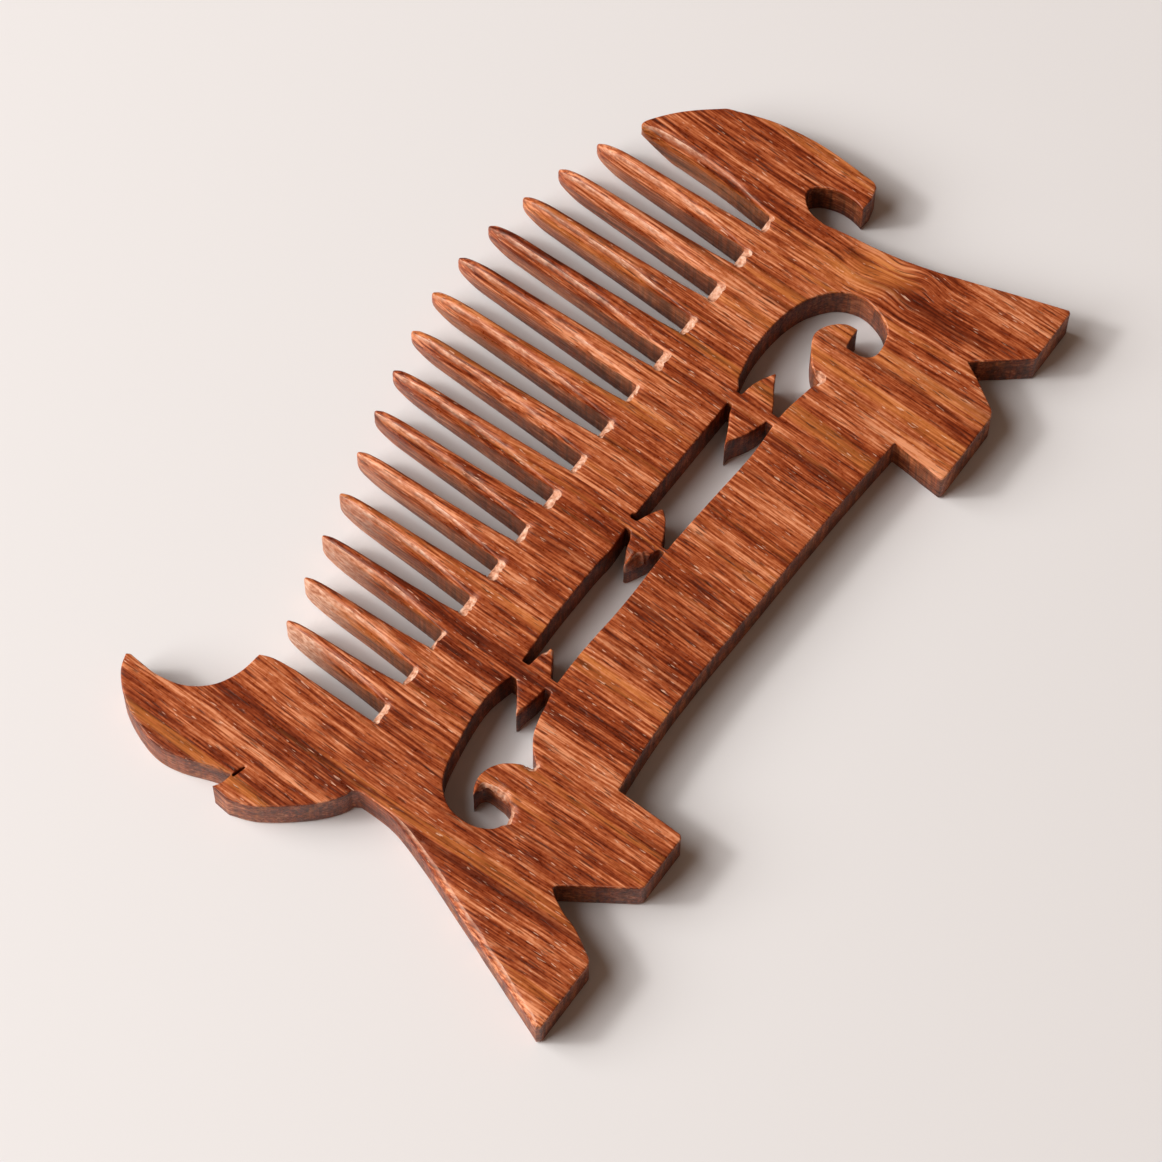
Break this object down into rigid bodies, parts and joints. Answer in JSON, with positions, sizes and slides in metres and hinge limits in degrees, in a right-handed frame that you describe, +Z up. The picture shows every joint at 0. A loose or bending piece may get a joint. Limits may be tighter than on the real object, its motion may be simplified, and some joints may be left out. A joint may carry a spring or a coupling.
{
  "type": "hair comb",
  "caption": "Flat one-piece wooden hair comb with a row of tapered teeth, a pierced handle with scrolls and leaf-shaped posts, and a hooked end.",
  "frame": {"origin": "centre of the comb's box in plan, on the underside of the board", "axes": "+X along the row of teeth towards the hooked end, +Y the way the teeth point, +Z up through the board"},
  "size_m": [0.1389, 0.083, 0.0075],
  "materials": {
    "wood": "satin oiled red-brown hardwood, grain along the teeth"
  },
  "bodies": {
    "root": {"tooth_rail": "wood", "left_horn": "wood", "left_cheek": "wood", "left_head": "wood", "left_leg": "wood", "left_foot": "wood", "left_scroll": "wood", "handle_bar": "wood", "right_scroll": "wood", "right_foot": "wood", "right_leg": "wood", "right_hook": "wood", "right_head": "wood", "leaf_post_left": "wood", "leaf_post_middle": "wood", "leaf_post_right": "wood", "tooth_01": "wood", "tooth_02": "wood", "tooth_03": "wood", "tooth_04": "wood", "tooth_05": "wood", "tooth_06": "wood", "tooth_07": "wood", "tooth_08": "wood", "tooth_09": "wood", "tooth_10": "wood", "tooth_11": "wood", "tooth_12": "wood", "tooth_13": "wood", "tooth_14": "wood"}
  },
  "joints": []
}
